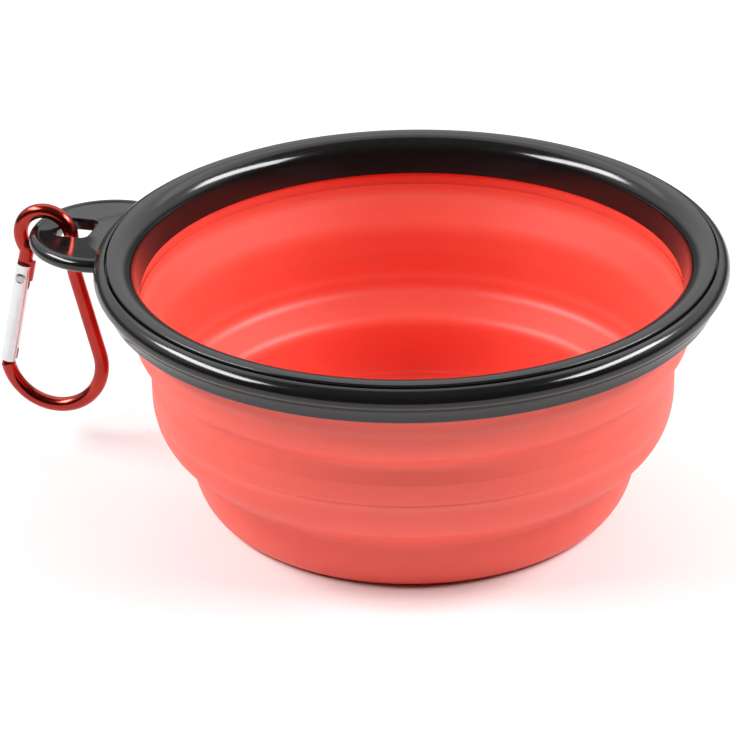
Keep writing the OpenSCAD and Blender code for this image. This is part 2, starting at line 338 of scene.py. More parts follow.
@dataclass(frozen=True)
class SoftSilicone:
    """Satin coral silicone, a little mottled, with a painted sheen: paler bands at the fold
    heights.
    """

    colour: Colour = (0.80, 0.088, 0.062)
    warm: Colour = (0.86, 0.105, 0.07)
    # painted sheen: paler colour laid in bands round the fold heights
    sheen_colour: Colour = (0.88, 0.19, 0.15)
    roughness: float = 0.48
    specular: float = 0.5
    mottle: Marks = Marks(45.0, detail=4.0, rough=0.55, dulls=0.12)
    speck: Marks = Marks(900.0, detail=2.0, dulls=0.06, depth=0.00003, strength=0.5)
    sheen_share: float = 0.35
    sheen_width: float = 1.6
    folds: tuple[float, ...] = (41.8, 24.0)
    scatter: float = 0.12
    scatter_reach: Colour = (1.0, 0.25, 0.18)
    scatter_scale: float = 0.0025

    def material(self) -> Material:
        """Makes the silicone's material."""
        s = Surface("soft_silicone")
        mottle, speck = s.marks(self.mottle), s.marks(self.speck)
        height = s.value("ShaderNodeSeparateXYZ", {0: s.place}, 2) / MM
        # painted sheen: bell-shaped bands at the fold heights where the colour turns paler
        fold = sum(height.bell(level, self.sheen_width) for level in self.folds)
        tint = s.mix(mottle, self.colour, self.warm)
        dull = (mottle - 0.5) * self.mottle.dulls + (speck - 0.5) * self.speck.dulls
        s.set(
            base_color=s.mix(fold * self.sheen_share, tint, self.sheen_colour),
            roughness=self.roughness + dull,
            subsurface_weight=self.scatter,
            subsurface_radius=self.scatter_reach,
            subsurface_scale=self.scatter_scale,
            specular_ior_level=self.specular,
        )
        return s.material


@dataclass(frozen=True)
class HardFinish:
    """A finish of two colours that its marks mix, for plastic and for metal."""

    name: str
    colour: Colour
    marked: Colour
    roughness: float
    marks: tuple[Marks, ...]
    metallic: float = 0.0
    coat: float = 0.0
    coat_roughness: float = 0.1

    def material(self) -> Material:
        """Makes the finish's material."""
        s = Surface(self.name)
        tint, dull = 0.0, self.roughness
        for mark in self.marks:
            noise = s.marks(mark)
            if mark.tints:
                tint = noise * mark.tints + tint
            if mark.dulls:
                dull = (noise - 0.5) * mark.dulls + dull
        s.set(
            base_color=s.mix(tint, self.colour, self.marked),
            metallic=self.metallic,
            roughness=dull,
            coat_weight=self.coat,
            coat_roughness=self.coat_roughness,
        )
        return s.material


PLASTIC = HardFinish(
    "moulded_plastic",
    colour=(0.004, 0.0038, 0.0038),
    marked=(0.012, 0.011, 0.011),
    roughness=0.14,
    marks=(
        Marks(60.0, tints=0.3, dulls=0.10),
        Marks(
            stretch=(400.0, 400.0, 2500.0), detail=2.0, rough=0.6, tints=0.6, dulls=0.08
        ),
        Marks(180.0, detail=1.0, depth=0.00004, strength=0.25),
    ),
)
ANODISED = HardFinish(
    "anodised_rod",
    colour=(0.50, 0.045, 0.030),
    marked=(0.27, 0.014, 0.010),
    roughness=0.2,
    marks=(
        Marks(220.0, tints=1.0, dulls=0.05),
        Marks(2600.0, detail=2.0, dulls=0.10, depth=0.00001, strength=0.3),
    ),
    metallic=0.95,
    coat=0.25,
)
DRAWN = (
    Marks(
        stretch=(3000.0, 3000.0, 200.0),
        rough=0.6,
        tints=0.3,
        dulls=0.12,
        depth=0.00001,
        strength=0.4,
    ),
    Marks(300.0, detail=2.0, tints=0.6),
)
SILVER = HardFinish(
    "brushed_silver", (0.80, 0.80, 0.81), (0.62, 0.62, 0.64), 0.26, DRAWN, metallic=1.0
)
STEEL = HardFinish(
    "rivet_steel", (0.55, 0.55, 0.56), (0.4, 0.4, 0.41), 0.34, DRAWN, metallic=1.0
)


def linked(name: str, data: bpy.types.ID) -> Object:
    """Makes an object of that data and links it to the scene."""
    obj = bpy.data.objects.new(name, data)
    bpy.context.scene.collection.objects.link(obj)
    return obj


def finished(name: str, mesh: Mesh, material: Material) -> Object:
    """Makes a mesh a linked object with closed seams, outward faces and one material.

    Args:
        name: Name of the piece.
        mesh: Its mesh, in metres.
        material: Its finish.

    Returns:
        The object, at the origin.
    """
    work = bmesh.new()
    work.from_mesh(mesh)
    bmesh.ops.remove_doubles(work, verts=work.verts, dist=SEAM_GAP)
    bmesh.ops.recalc_face_normals(work, faces=work.faces)
    work.to_mesh(mesh)
    work.free()
    mesh.name = name
    mesh.materials.clear()
    mesh.materials.append(material)
    mesh.shade_smooth()
    mesh.set_sharp_from_angle(angle=math.radians(CREASE_ANGLE))
    LOG.info("%s: %d faces", name, len(mesh.polygons))
    return linked(name, mesh)


class Input(Enum):
    """Kinds of input that a geometry recipe takes, with their socket types."""

    GEOMETRY = "NodeSocketGeometry"
    MATERIAL = "NodeSocketMaterial"
    COUNT = "NodeSocketInt"
    LENGTH = "NodeSocketFloat"


class GeometryRecipe(Graph):
    """A geometry node tree with named inputs, run once and kept as a plain mesh."""

    def __init__(self, name: str) -> None:
        """Makes the tree with its geometry input and output."""
        super().__init__(bpy.data.node_groups.new(name, "GeometryNodeTree"))
        for way in ("INPUT", "OUTPUT"):
            self.tree.interface.new_socket(
                "Geometry", in_out=way, socket_type=Input.GEOMETRY.value
            )
        self.identifiers: dict[str, str] = {}
        self.source = self.add("NodeGroupInput")
        self.takes("Material", Input.MATERIAL)

    def takes(self, name: str, kind: Input) -> Expr:
        """Adds a named input.

        Args:
            name: Name of the input.
            kind: What it holds.

        Returns:
            The input's value in the tree.
        """
        socket = self.tree.interface.new_socket(
            name, in_out="INPUT", socket_type=kind.value
        )
        self.identifiers[name] = socket.identifier
        return Expr(self, self.source.outputs[name])

    def close(self, geometry: Value) -> None:
        """Ends the tree in Realize Instances and Set Material.

        Args:
            geometry: What the tree has made.
        """
        real = self.value("GeometryNodeRealizeInstances", {0: geometry})
        values = {"Geometry": real, "Material": self.source.outputs["Material"]}
        done = self.value("GeometryNodeSetMaterial", values)
        self.add("NodeGroupOutput", {0: done})

    def run(
        self,
        name: str,
        line: Mesh,
        material: Material,
        **sizes: float,
    ) -> Object:
        """Runs the tree on a line of points.

        Args:
            name: Name of the piece.
            line: The line, as a mesh of points and edges.
            material: Finish of the piece.
            sizes: Values of the named inputs.

        Returns:
            The piece as a plain mesh object.
        """
        carrier = linked(name + "_line", line)
        modifier = carrier.modifiers.new("recipe", "NODES")
        modifier.node_group = self.tree
        for key, value in {**sizes, "Material": material}.items():
            modifier[self.identifiers[key]] = value
        graph = bpy.context.evaluated_depsgraph_get()
        mesh = bpy.data.meshes.new_from_object(carrier.evaluated_get(graph))
        bpy.data.objects.remove(carrier)
        bpy.data.meshes.remove(line)
        return finished(name, mesh, material)


def line_mesh(points: list[tuple[float, float, float]], closed: bool = False) -> Mesh:
    """A line of points as a mesh of edges.

    Args:
        points: The points, in millimetres.
        closed: True where the last point joins the first.

    Returns:
        The mesh, in metres.
    """
    spots = [tuple(MM * value for value in point) for point in points]
    if closed:
        spots.append(spots[0])
    mesh = bpy.data.meshes.new("line")
    mesh.from_pydata(spots, [(i, i + 1) for i in range(len(spots) - 1)], [])
    return mesh


class Lathe(GeometryRecipe):
    """Turns a line of points (radius, 0, height) round the Z axis."""

    def __init__(self) -> None:
        """Builds the tree: a grid whose rows follow the line and whose columns turn."""
        super().__init__("lathe")
        steps = self.takes("Steps", Input.COUNT)
        line = self.source.outputs["Geometry"]
        rows = self.value(
            "GeometryNodeAttributeDomainSize", {0: line}, component="MESH"
        )
        sizes = {"Vertices X": steps + 1.0, "Vertices Y": rows}
        grid = self.value("GeometryNodeMeshGrid", sizes)
        index = self.value("GeometryNodeInputIndex")
        column = (index / rows + INDEX_NUDGE).apply("FLOOR")
        row = index - column * rows
        spot = self.value("GeometryNodeInputPosition")
        picked = self.value(
            "GeometryNodeSampleIndex",
            {"Geometry": line, "Value": spot, "Index": row},
            data_type="FLOAT_VECTOR",
            domain="POINT",
        )
        parts = self.add("ShaderNodeSeparateXYZ", {0: picked})
        radius = Expr(self, parts.outputs[0])
        angle = column / steps * (2.0 * math.pi)
        values = {0: radius * angle.apply("COSINE"), 1: radius * angle.apply("SINE")}
        values[2] = parts.outputs[2]
        place = self.value("ShaderNodeCombineXYZ", values)
        values = {"Geometry": grid, "Position": place}
        turned = self.value("GeometryNodeSetPosition", values)
        values = {"Geometry": turned, "Distance": WELD_GAP}
        joined = self.value("GeometryNodeMergeByDistance", values)
        self.close(joined)

    def turn(
        self,
        name: str,
        profile: list[Point],
        material: Material,
        steps: int = 192,
    ) -> Object:
        """Turns a closed profile.

        Args:
            name: Name of the piece.
            profile: Points (radius, height), without the first repeated.
            material: Finish of the piece.
            steps: Columns round the axis.

        Returns:
            The piece.
        """
        line = line_mesh([(r, 0.0, z) for r, z in profile], closed=True)
        return self.run(name, line, material, Steps=steps)


class RodSweep(GeometryRecipe):
    """Sweeps a round rod along a line, with flat ends."""

    def __init__(self) -> None:
        """Builds the tree: line to curve, round section, capped ends."""
        super().__init__("rod_sweep")
        radius = self.takes("Radius", Input.LENGTH)
        sides = self.takes("Sides", Input.COUNT)
        line = self.source.outputs["Geometry"]
        path = self.value("GeometryNodeMeshToCurve", {0: line})
        girth = self.value(
            "GeometryNodeInputNamedAttribute", {"Name": "girth"}, data_type="FLOAT"
        )
        path = self.value("GeometryNodeSetCurveRadius", {0: path, "Radius": girth})
        values = {"Resolution": sides, "Radius": radius}
        section = self.value("GeometryNodeCurvePrimitiveCircle", values, mode="RADIUS")
        values = {"Curve": path, "Profile Curve": section, "Fill Caps": True}
        tube = self.value("GeometryNodeCurveToMesh", values)
        self.close(tube)

    def sweep(
        self,
        name: str,
        path: list[Vector],
        radius: float,
        material: Material,
        rounding: float,
    ) -> Object:
        """Sweeps the rod.

        Args:
            name: Name of the piece.
            path: Points of its centre line, in millimetres.
            radius: Radius of the rod.
            material: Finish of the piece.
            rounding: Rounding of both ends' edges.

        Returns:
            The piece.
        """
        line = line_mesh([tuple(p) for p in path])
        girth = line.attributes.new("girth", "FLOAT", "POINT")
        travelled = [0.0]
        for a, b in zip(path, path[1:]):
            travelled.append(travelled[-1] + (b - a).length)
        for i, where in enumerate(travelled):
            left = min(where, travelled[-1] - where)
            inset = 0.0
            if left < rounding:
                inset = rounding - math.sqrt(rounding**2 - (rounding - left) ** 2)
            girth.data[i].value = 1.0 - inset / radius
        return self.run(name, line, material, Radius=radius * MM, Sides=ROD_SIDES)


@dataclass
class SiliconeTiers:
    """The soft bowl: base cup, two folding bands, middle wall and clamped collar."""

    wall: float = 2.0
    floor: float = 2.2
    foot_step: float = 5.8
    foot_edge: float = 0.5
    foot_clear: float = 0.15
    recess: float = 0.35
    recess_from: float = 4.0
    recess_to: float = 3.4
    knee_drop: float = 1.6
    inner_drop: float = 3.0
    inner_lean: float = 0.9
    inner_foot_z: float = 3.6
    inner_points: int = 12
    floor_inset: float = 3.2
    floor_fillet: float = 2.0
    root_out: float = 0.4
    root_rise: float = 0.9
    fold_slope: float = 50.0
    fillet: float = 1.8
    fillet_lead: float = 0.05
    band_clear: float = 0.4
    line_half: float = 0.25
    line_depth: float = 0.12
    guide: float = 3.0
    taper: float = 0.35
    lower_sill: float = 3.5
    lower_drop: float = 4.1
    upper_sill: float = 1.5
    waist: float = 0.15
    hollow: float = 0.35
    hollow_rise: float = 1.6
    soft_edge: float = 2.0
    rim_under: float = 1.3
    lip_rise: float = 0.1
    flange_reach: float = 3.2
    flange_thick: float = 2.0
    neck_lean: float = 1.7
    neck_flare: float = 0.9

    def __post_init__(self) -> None:
        """Reads the tiers' radii and heights from the frame."""
        self.upper_r = reach("upper_fold")
        self.middle_r = reach("middle_tier")
        self.base_r = reach("base_cup")
        self.lower_z, self.middle_z = span("lower_fold")
        self.upper_z, self.collar_z = span("upper_fold")
        self.flange_top = span("rim_collar")[1]
        self.flange_z = self.flange_top - self.flange_thick
        self.rim_z = self.flange_z - self.rim_under
        self.foot_r = self.base_r - self.foot_step
        self.joint_z = (self.middle_z + self.upper_z) / 2
        self.joint_at = (self.middle_r - self.wall - self.waist, self.joint_z)

    def band_outside(self, top: Point, foot: Point) -> list[Point]:
        """Outside of a folding band, from the fillet at its foot up to its top.

        The band is a quarter ellipse that goes on straight once it is fold_slope flat.

        Args:
            top: Radius of the wall above and height of the band's top.
            foot: Radius of the wall below and height of the band's foot.

        Returns:
            The points, from the lower wall to the band's top.
        """
        foot_r = foot[0]
        curve = quarter(top, (foot_r + self.root_out, foot[1] + self.root_rise))
        steep = math.tan(math.radians(self.fold_slope))
        kept = [curve[0]]
        for before, point in zip(curve, curve[1:]):
            if before[0] - point[0] > steep * (before[1] - point[1]):
                break
            kept.append(point)
        end = kept[-1]
        corner = (foot_r, end[1] - (end[0] - foot_r) / steep)
        below = (foot_r, corner[1] - self.fillet - self.fillet_lead)
        return [below, *rounded([corner], self.fillet, below, end), *reversed(kept)]

    def band_inside(
        self, top: Point, foot: Point, sill: float, drop: float = 0.0
    ) -> list[Point]:
        """Inside of a folding band, a straight cone from its top down to its ledge.

        Args:
            top: Radius of the wall above and height of the band's top.
            foot: Radius of the wall below and height of the band's foot.
            sill: Height of the ledge above that foot.
            drop: How far below its top the cone starts.

        Returns:
            The points, with both edges rounded.
        """
        start = (top[0] - self.wall, top[1] - drop)
        edge = (foot[0] - self.wall, foot[1] + sill)
        above = (start[0], start[1] + self.guide)
        below = (edge[0], edge[1] - self.guide)
        return rounded([start, edge], self.soft_edge, above, below)

    def lower_profile(self) -> list[Point]:
        """Closed section of the base cup, lower fold and half of the middle wall."""
        knee_z = self.lower_z - self.knee_drop
        base = quarter((self.base_r, knee_z), (self.foot_r, 0.0), steps=30)[::-1]
        middle_at, base_at = (self.middle_r, self.middle_z), (self.base_r, self.lower_z)
        band = self.band_outside(middle_at, base_at)
        base_end = band[0][1] - self.band_clear
        under = self.middle_z - self.line_half
        over = self.middle_z + self.line_half
        outside = (
            [(0.0, self.recess), (self.foot_r - self.recess_from, self.recess)]
            + [(self.foot_r - self.recess_to, 0.0), (self.foot_r - self.foot_edge, 0.0)]
            + [p for p in base if self.foot_clear < p[1] < base_end]
            + band[1:-1]
            + [(self.middle_r, under), (self.middle_r - self.line_depth, self.middle_z)]
            + [(self.middle_r, over), (self.middle_r, self.joint_z)]
        )
        inner_r = self.base_r - self.wall
        inner_top = (inner_r, knee_z - self.inner_drop)
        inner_foot = (inner_r - self.inner_lean, self.inner_foot_z)
        cup = quarter(inner_top, inner_foot, steps=16)[: self.inner_points]
        floor_at = (inner_r - self.floor_inset, self.floor + self.floor_fillet)
        inside = (
            [self.joint_at]
            + self.band_inside(middle_at, base_at, self.lower_sill, self.lower_drop)
            + [(inner_r, self.lower_z)]
            + cup
            + arc(floor_at, self.floor_fillet, -5, -90, steps=12)
            + [(0.0, self.floor)]
        )
        return outside + inside

    def upper_profile(self) -> list[Point]:
        """Closed section of the rest of the middle wall, upper fold and collar."""
        top = self.rim_z + self.lip_rise
        neck = self.upper_r - self.wall / 2
        rim = self.upper_r + self.flange_reach
        inner_r = self.upper_r - self.wall
        outer_foot = (self.middle_r - self.taper, self.upper_z)
        band_top, foot = (self.upper_r, self.collar_z), (self.middle_r, self.upper_z)
        outside = (
            [(self.middle_r, self.joint_z)]
            + self.band_outside(band_top, outer_foot)
            + [(self.upper_r, self.rim_z)]
            + [(self.upper_r + self.neck_flare, self.flange_z), (rim, self.flange_z)]
            + [(rim, self.flange_top), (neck + self.neck_lean, self.flange_top)]
            + [(neck, top)]
        )
        inside = (
            [(inner_r, top), (inner_r + self.hollow, self.collar_z + self.hollow_rise)]
            + self.band_inside(band_top, foot, self.upper_sill)
            + [self.joint_at]
        )
        return outside + inside

    def build(self, lathe: Lathe, finish: Material) -> None:
        """Builds the two soft pieces in place and hides the frame parts that they replace.

        Args:
            lathe: Recipe that turns the sections.
            finish: The silicone's material.
        """
        lower = lathe.turn("silicone_lower", self.lower_profile(), finish)
        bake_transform(lower)
        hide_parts("base_cup", "lower_fold")
        upper = lathe.turn("silicone_upper", self.upper_profile(), finish)
        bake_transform(upper)
        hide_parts("middle_tier", "upper_fold", "rim_collar")


@dataclass
class HardRim:
    """The two glossy rings and the round hang tab with its slot.

    skirt_foot holds points (in from the rim, down from the top) and lip_steps holds
    points (out from the lip, up from the panel).
    """

    columns: int = 256
    bead: float = 2.65
    bead_under: float = 1.2
    bead_drop: float = 0.05
    skirt_foot: tuple[Point, ...] = ((0.9, 4.8), (1.0, 4.9), (1.5, 5.1), (1.6, 5.25))
    hem_in: float = 2.6
    hem_round: float = 0.4
    under_r: float = 57.8
    ledge_r: float = 58.7
    ledge_up: float = 1.3
    flange_up: float = 3.3
    groove_r: float = 61.9
    groove_w: float = 0.3
    nose_r: float = 56.0
    nose_round: float = 4.3
    funnel_lean: float = 12.0
    inner_foot_r: float = 55.15
    neck_r: float = 56.1
    neck_lean: float = 1.7
    edge_round: float = 0.3
    flange_r: float = 60.8
    gap: float = 0.3
    shoulder_drop: float = 3.0
    tab_r: float = 16.4
    tab_x: float = 65.1
    tab_t: float = 3.0
    tab_drop: float = 2.5
    tab_bite: float = 2.0
    lip_w: float = 2.2
    lip_h: float = 0.3
    lip_steps: tuple[Point, ...] = ((-0.15, 0.0), (0.1, 0.1), (0.3, 0.25), (0.5, 0.3))
    slot_near: float = 68.3
    slot_w: float = 7.4
    slot_l: float = 9.2
    slot_corner: float = 1.8
    slot_edge: float = 0.25
    edge_share: float = 0.3
    corner_turn: float = 4.0
    loop_points: int = 160

    def __post_init__(self) -> None:
        """Reads the rim's size from the frame."""
        self.rim_r = reach("rim_outer_ring")
        self.under_z, self.outer_top = span("rim_outer_ring")
        self.lip_z, self.top_z = span("rim_inner_ring")
        self.flange_z = self.under_z + self.ledge_up
        self.flange_top = self.under_z + self.flange_up
        self.shoulder_z = self.top_z - self.shoulder_drop

    def outer_profile(self) -> list[Point]:
        """Closed section of the outer ring."""
        bore = self.groove_r + self.groove_w / 2
        ledge = self.flange_r + self.gap
        edge = self.edge_round
        edge_at = (bore + edge, self.outer_top - edge - self.bead_drop)
        belly_z = self.outer_top - self.bead
        above = (self.rim_r - self.bead, belly_z)
        below = (self.rim_r - self.bead_under, belly_z)
        skirt = [(self.rim_r - x, self.top_z - z) for x, z in self.skirt_foot]
        hem_at = (self.rim_r - self.hem_in, self.under_z + self.hem_round)
        bead_start = math.degrees(math.acos((edge_at[0] - above[0]) / self.bead))
        bead_end = -math.degrees(math.acos((skirt[0][0] - below[0]) / self.bead_under))
        return (
            arc(edge_at, edge, 180, 90, steps=6)
            + arc(above, self.bead, bead_start, 0, steps=20)[:-1]
            + arc(below, self.bead_under, 0, bead_end)
            + skirt
            + arc(hem_at, self.hem_round, 0, -90, steps=5)
            + [(self.under_r, self.under_z), (self.ledge_r, self.flange_z)]
            + [(ledge, self.flange_z), (ledge, self.shoulder_z)]
            + [(bore, self.shoulder_z)]
        )

    def inner_profile(self) -> list[Point]:
        """Closed section of the inner ring."""
        edge = self.edge_round
        outer = self.groove_r - self.groove_w / 2
        nose_at = (self.nose_r + self.nose_round, self.top_z - self.nose_round)
        return (
            [(self.inner_foot_r, self.lip_z), (self.neck_r, self.lip_z)]
            + [(self.neck_r + self.neck_lean, self.flange_top)]
            + [(self.flange_r, self.flange_top), (self.flange_r, self.shoulder_z)]
            + [(outer, self.shoulder_z)]
            + arc((outer - edge, self.top_z - edge), edge, 0, 90, steps=6)
            + arc(nose_at, self.nose_round, 90, 180 - self.funnel_lean, steps=24)
        )

    def disc_loop(self, radius: float, z: float) -> list[Vector]:
        """Loop of the tab's outline, pulled into the ring where the ring covers it."""
        loop = []
        for x, y in arc((-self.tab_x, 0.0), radius, 0, 360, self.loop_points)[:-1]:
            grow = max(1.0, (self.rim_r - self.tab_bite) / math.hypot(x, y))
            loop.append(Vector((x * grow, y * grow, z)))
        return loop

    def slot_loop(self, spread: float, z: float) -> list[Vector]:
        """Loop of the slot's outline, spread that much, matched to the disc's loop."""
        half_w = self.slot_w / 2 - self.slot_corner
        half_l = self.slot_l / 2 - self.slot_corner
        centre = -self.slot_near - self.slot_w / 2
        corner = self.slot_corner + spread
        loop = []
        for i in range(self.loop_points):
            a = 2 * math.pi * i / self.loop_points
            c, s = math.cos(a), math.sin(a)
            x = math.copysign(half_w, c) * min(1.0, abs(c) * self.corner_turn)
            y = math.copysign(half_l, s) * min(1.0, abs(s) * self.corner_turn)
            loop.append(Vector((centre + x + corner * c, y + corner * s, z)))
        return loop

    def tab_mesh(self) -> Mesh:
        """Mesh of the tab: loops from the slot over panel and lip and back below."""
        top = self.top_z - self.tab_drop
        low, panel = top - self.tab_t, top - self.lip_h
        lip_r = self.tab_r - self.lip_w
        edge, soft = self.tab_t / 2, self.slot_edge
        bit = soft * self.edge_share
        rim = arc((self.tab_r - edge, low + edge), edge, 90, -90, steps=16)
        loops = [self.slot_loop(0.0, panel - soft), self.slot_loop(bit, panel - bit)]
        loops += [self.slot_loop(soft, panel)]
        loops += [self.disc_loop(lip_r + out, panel + up) for out, up in self.lip_steps]
        loops += [self.disc_loop(r, z) for r, z in rim]
        loops += [self.slot_loop(soft, low), self.slot_loop(bit, low + bit)]
        loops += [self.slot_loop(0.0, low + soft)]
        count = self.loop_points
        faces = []
        for k in range(len(loops)):
            here, there = k * count, (k + 1) % len(loops) * count
            for i in range(count):
                j = (i + 1) % count
                faces.append((here + i, here + j, there + j, there + i))
        mesh = bpy.data.meshes.new("hang_tab")
        mesh.from_pydata([p * MM for loop in loops for p in loop], [], faces)
        return mesh

    def build(self, lathe: Lathe, finish: Material) -> None:
        """Builds the outer ring with its tab, and the inner ring.

        Args:
            lathe: Recipe that turns the sections.
            finish: The plastic's material.
        """
        ring = lathe.turn("rim_ring", self.outer_profile(), finish, self.columns)
        tab = finished("hang_tab", self.tab_mesh(), finish)
        inner = lathe.turn("retaining_ring", self.inner_profile(), finish, self.columns)
        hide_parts("rim_outer_ring")
        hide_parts("rim_outer_ring")
        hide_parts("rim_inner_ring")
        for piece in (ring, tab, inner):
            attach(piece, "rim")


@dataclass
class Carabiner:
    """The bent rod and the flat tongues at its two ends.

    The tongues are drawn in the gate's own frame, with the rivet at the origin.
    """

    rod_r: float = 1.55
    rod_edge: float = 0.3
    top_r: float = 5.64
    spine_tilt: float = 13.5
    spine_bend_r: float = 12.0
    neck_bend_r: float = 2.2
    gate_tilt: float = 12.8
    bow: Point = (-0.15, -29.05)
    shoulder_up: float = 4.0
    shoulder_down: float = 21.6
    end_points: int = 8
    end_step: float = 0.05
    spine_points: int = 6
    tongue_t: float = 1.0
    tongue_edge: float = 0.12
    hinge_r: float = 1.5
    hinge_root: tuple[Point, ...] = ((2.3, -0.6), (2.3, 4.1), (-1.5, 4.1))
    nose_r: float = 1.3
    nose_z: float = -19.3
    nose_root_z: float = -21.9

    def __post_init__(self) -> None:
        """Reads the top bend's and the rivet's places from the joints of the frame."""
        turning = [joint for joint in FRAME["joints"] if "pos_m" in joint]
        places = {joint["name"]: Vector(joint["pos_m"]) / MM for joint in turning}
        self.hook = places["carabiner_swing"]
        self.rivet = places["gate_hinge"] - self.hook

    def path(self) -> list[Vector]:
        """Centre line of the rod, from its shoulder at the hinge round to its nose.

        Returns:
            Points in the frame, in millimetres.
        """
        tilt = math.radians(self.gate_tilt)
        along = Vector((math.sin(tilt), math.cos(tilt)))
        across = Vector((-math.cos(tilt), math.sin(tilt)))
        rivet = Vector((self.rivet.x, self.rivet.z))
        foot = rivet + self.neck_bend_r * across
        b = foot.dot(along)
        c = foot.dot(foot) - (self.top_r + self.neck_bend_r) ** 2
        neck = foot + (-b - math.sqrt(b * b - c)) * along
        neck_angle = 360 + math.degrees(math.atan2(neck.y, neck.x))
        spine = math.radians(self.spine_tilt)
        side = Vector((math.cos(spine), math.sin(spine)))
        bow = Vector(self.bow)
        nose = rivet - self.shoulder_down * along
        bow_r = (nose - bow).length
        bow_start = bow + bow_r * side
        bend_x = self.top_r + self.spine_bend_r
        end_x = bend_x - self.spine_bend_r * math.cos(spine)
        end_z = (bow_start.dot(side) - end_x * math.cos(spine)) / math.sin(spine)
        spine_end = Vector((end_x, end_z))
        bend_z = end_z + self.spine_bend_r * math.sin(spine)
        nose_angle = math.degrees(math.atan2(nose.y - bow.y, nose.x - bow.x))
        if nose_angle > 0:
            nose_angle -= 360
        count, rows = self.end_points, self.spine_points
        start = rivet + self.shoulder_up * along
        leads = [i * self.end_step for i in range(count)]
        flat: list[Point] = [tuple(start + along * lead) for lead in leads]
        turned = neck_angle - 180
        flat += arc(tuple(neck), self.neck_bend_r, -self.gate_tilt, turned, steps=14)
        flat += arc((0.0, 0.0), self.top_r, neck_angle, 0, steps=60)[1:]
        flat += [(self.top_r, bend_z * i / rows) for i in range(1, rows)]
        flat += arc((bend_x, bend_z), self.spine_bend_r, 180, 180 + self.spine_tilt, 14)
        flat += [tuple(spine_end.lerp(bow_start, i / count)) for i in range(1, count)]
        bend = arc(tuple(bow), bow_r, self.spine_tilt, nose_angle, steps=90)
        before, last = Vector(bend[-2]), Vector(bend[-1])
        flat += bend[:-1]
        flat += [tuple(before.lerp(last, i / count)) for i in range(1, count + 1)]
        return [Vector((x + self.hook.x, 0.0, z + self.hook.z)) for x, z in flat]

    def plate(self, outline: list[Point]) -> Mesh:
        """A flat plate in the gate's own frame, with softened edges.

        Args:
            outline: Points (across, along) of its outline.

        Returns:
            The mesh, in place.
        """
        work = bmesh.new()
        near = [work.verts.new((x, -self.tongue_t / 2, z)) for x, z in outline]
        face = work.faces.new(near)
        grown = bmesh.ops.extrude_face_region(work, geom=[face])["geom"]
        far = [part for part in grown if isinstance(part, bmesh.types.BMVert)]
        bmesh.ops.translate(work, vec=(0, self.tongue_t, 0), verts=far)
        bmesh.ops.bevel(
            work,
            geom=[edge for edge in work.edges if edge.calc_face_angle(0) > 1.0],
            offset=self.tongue_edge,
            segments=2,
            affect="EDGES",
            profile=0.5,
        )
        turn = Matrix.Rotation(math.radians(self.gate_tilt), 4, "Y")
        place = Matrix.Translation((self.hook + self.rivet) * MM)
        matrix = place @ turn @ Matrix.Scale(MM, 4)
        bmesh.ops.transform(work, matrix=matrix, verts=work.verts)
        mesh = bpy.data.meshes.new("plate")
        work.to_mesh(mesh)
        work.free()
        return mesh

    def build(self, rod: RodSweep, red: Material) -> None:
        """Builds the rod and its two flat ends.

        Args:
            rod: Recipe that sweeps the rod.
            red: The anodised material.
        """
        body = rod.sweep("carabiner_rod", self.path(), self.rod_r, red, self.rod_edge)
        hinge = arc((0.0, 0.0), self.hinge_r, -180, -20, steps=12)
        hinge += self.hinge_root
        nose = arc((0.0, self.nose_z), self.nose_r, 0, 180, steps=12)
        nose += [(-self.nose_r, self.nose_root_z), (self.nose_r, self.nose_root_z)]
        ends = [
            finished("hinge_tongue", self.plate(hinge), red),
            finished("nose_tongue", self.plate(nose), red),
        ]
        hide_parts("carabiner_body")
        for piece in (body, *ends):
            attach(piece, "carabiner")


@dataclass(frozen=True)
class Softbox:
    """A soft rectangular lamp that faces the bowl, in metres and watts.

    Its place is on the ground plan, as the camera looks at it.
    """

    name: str
    place: Point
    height: float
    size: Point
    power: float


